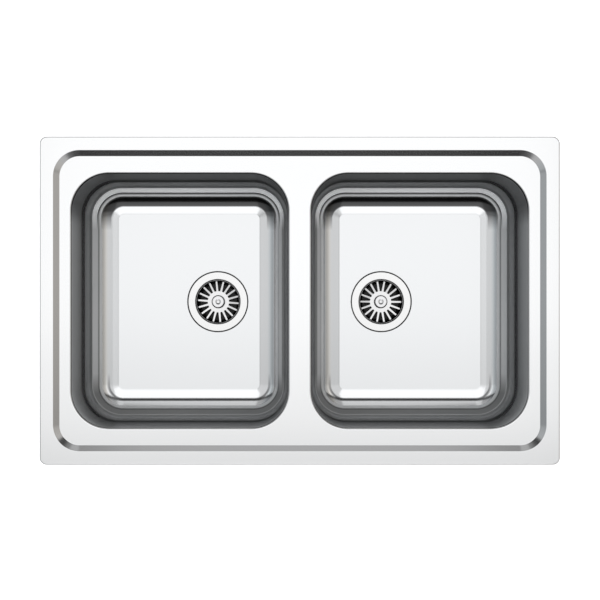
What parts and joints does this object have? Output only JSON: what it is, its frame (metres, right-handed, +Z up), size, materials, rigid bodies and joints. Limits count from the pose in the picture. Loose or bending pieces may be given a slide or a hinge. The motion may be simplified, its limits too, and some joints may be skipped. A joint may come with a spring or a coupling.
{
  "type": "double bowl kitchen sink",
  "caption": "Inset stainless kitchen sink with two equal deep bowls, basket strainer wastes and under-rim worktop clamps.",
  "frame": {"origin": "centre of the worktop cut-out, level with the worktop's top face", "axes": "+Z up out of the bowls, +X along the sink's length, +Y towards the back of the worktop"},
  "size_m": [0.79, 0.5, 0.247],
  "materials": {
    "brushed_steel": "satin stainless sheet",
    "sheet_steel": "plain stainless strip",
    "polished_steel": "bright pressed stainless",
    "knob_chrome": "polished",
    "screw_steel": "plain stainless",
    "zinc_steel": "bright zinc plate",
    "brass": "turned",
    "seal_foam": "closed cell foam",
    "pad_rubber": "filled butyl",
    "gasket_rubber": "moulded",
    "waste_plastic": "white polypropylene",
    "stem_plastic": "black acetal"
  },
  "bodies": {
    "sink": {"deck_panel": "brushed_steel", "rim_seal": "seal_foam", "earth_tag": "sheet_steel", "clamp_studs": "zinc_steel", "left_bowl": "brushed_steel", "left_sound_pad": "pad_rubber", "left_strainer_cup": "polished_steel", "left_waste_body": "waste_plastic", "left_flange_gasket": "gasket_rubber", "left_body_gasket": "gasket_rubber", "left_thread_insert": "brass", "left_centre_screw": "screw_steel", "right_bowl": "brushed_steel", "right_sound_pad": "pad_rubber", "right_strainer_cup": "polished_steel", "right_waste_body": "waste_plastic", "right_flange_gasket": "gasket_rubber", "right_body_gasket": "gasket_rubber", "right_thread_insert": "brass", "right_centre_screw": "screw_steel"},
    "left_basket": {"left_basket": "polished_steel", "left_knob": "knob_chrome", "left_knob_screw": "screw_steel", "left_basket_stem": "stem_plastic", "left_stopper": "gasket_rubber", "left_stopper_clip": "screw_steel"},
    "right_basket": {"right_basket": "polished_steel", "right_knob": "knob_chrome", "right_knob_screw": "screw_steel", "right_basket_stem": "stem_plastic", "right_stopper": "gasket_rubber", "right_stopper_clip": "screw_steel"},
    "front_left_wing_nut": {"front_left_wing_nut": "zinc_steel"},
    "front_left_clamp_arm": {"front_left_clamp_arm": "zinc_steel"},
    "front_middle_wing_nut": {"front_middle_wing_nut": "zinc_steel"},
    "front_middle_clamp_arm": {"front_middle_clamp_arm": "zinc_steel"},
    "front_right_wing_nut": {"front_right_wing_nut": "zinc_steel"},
    "front_right_clamp_arm": {"front_right_clamp_arm": "zinc_steel"},
    "back_left_wing_nut": {"back_left_wing_nut": "zinc_steel"},
    "back_left_clamp_arm": {"back_left_clamp_arm": "zinc_steel"},
    "back_middle_wing_nut": {"back_middle_wing_nut": "zinc_steel"},
    "back_middle_clamp_arm": {"back_middle_clamp_arm": "zinc_steel"},
    "back_right_wing_nut": {"back_right_wing_nut": "zinc_steel"},
    "back_right_clamp_arm": {"back_right_clamp_arm": "zinc_steel"},
    "left_side_wing_nut": {"left_side_wing_nut": "zinc_steel"},
    "left_side_clamp_arm": {"left_side_clamp_arm": "zinc_steel"},
    "right_side_wing_nut": {"right_side_wing_nut": "zinc_steel"},
    "right_side_clamp_arm": {"right_side_clamp_arm": "zinc_steel"}
  },
  "joints": [
    {"name": "left_basket_lift", "type": "slide", "parent": "sink", "child": "left_basket", "axis": [0, 0, 1], "range_m": [0, 0.22]},
    {"name": "right_basket_lift", "type": "slide", "parent": "sink", "child": "right_basket", "axis": [0, 0, 1], "range_m": [0, 0.22]},
    {"name": "front_left_clamp_slide", "type": "slide", "parent": "sink", "child": "front_left_wing_nut", "axis": [0, 0, 1], "range_m": [-0.004, 0.018]},
    {"name": "front_left_clamp_swing", "type": "hinge", "parent": "front_left_wing_nut", "child": "front_left_clamp_arm", "pos_m": [-0.25, -0.211, -0.043], "axis": [0, 0, 1], "range_deg": [-90, 90]},
    {"name": "front_middle_clamp_slide", "type": "slide", "parent": "sink", "child": "front_middle_wing_nut", "axis": [0, 0, 1], "range_m": [-0.004, 0.018]},
    {"name": "front_middle_clamp_swing", "type": "hinge", "parent": "front_middle_wing_nut", "child": "front_middle_clamp_arm", "pos_m": [0, -0.211, -0.043], "axis": [0, 0, 1], "range_deg": [-90, 90]},
    {"name": "front_right_clamp_slide", "type": "slide", "parent": "sink", "child": "front_right_wing_nut", "axis": [0, 0, 1], "range_m": [-0.004, 0.018]},
    {"name": "front_right_clamp_swing", "type": "hinge", "parent": "front_right_wing_nut", "child": "front_right_clamp_arm", "pos_m": [0.25, -0.211, -0.043], "axis": [0, 0, 1], "range_deg": [-90, 90]},
    {"name": "back_left_clamp_slide", "type": "slide", "parent": "sink", "child": "back_left_wing_nut", "axis": [0, 0, 1], "range_m": [-0.004, 0.018]},
    {"name": "back_left_clamp_swing", "type": "hinge", "parent": "back_left_wing_nut", "child": "back_left_clamp_arm", "pos_m": [-0.25, 0.211, -0.043], "axis": [0, 0, 1], "range_deg": [-90, 90]},
    {"name": "back_middle_clamp_slide", "type": "slide", "parent": "sink", "child": "back_middle_wing_nut", "axis": [0, 0, 1], "range_m": [-0.004, 0.018]},
    {"name": "back_middle_clamp_swing", "type": "hinge", "parent": "back_middle_wing_nut", "child": "back_middle_clamp_arm", "pos_m": [0, 0.211, -0.043], "axis": [0, 0, 1], "range_deg": [-90, 90]},
    {"name": "back_right_clamp_slide", "type": "slide", "parent": "sink", "child": "back_right_wing_nut", "axis": [0, 0, 1], "range_m": [-0.004, 0.018]},
    {"name": "back_right_clamp_swing", "type": "hinge", "parent": "back_right_wing_nut", "child": "back_right_clamp_arm", "pos_m": [0.25, 0.211, -0.043], "axis": [0, 0, 1], "range_deg": [-90, 90]},
    {"name": "left_side_clamp_slide", "type": "slide", "parent": "sink", "child": "left_side_wing_nut", "axis": [0, 0, 1], "range_m": [-0.004, 0.018]},
    {"name": "left_side_clamp_swing", "type": "hinge", "parent": "left_side_wing_nut", "child": "left_side_clamp_arm", "pos_m": [-0.36, 0, -0.043], "axis": [0, 0, 1], "range_deg": [-90, 90]},
    {"name": "right_side_clamp_slide", "type": "slide", "parent": "sink", "child": "right_side_wing_nut", "axis": [0, 0, 1], "range_m": [-0.004, 0.018]},
    {"name": "right_side_clamp_swing", "type": "hinge", "parent": "right_side_wing_nut", "child": "right_side_clamp_arm", "pos_m": [0.36, 0, -0.043], "axis": [0, 0, 1], "range_deg": [-90, 90]}
  ]
}
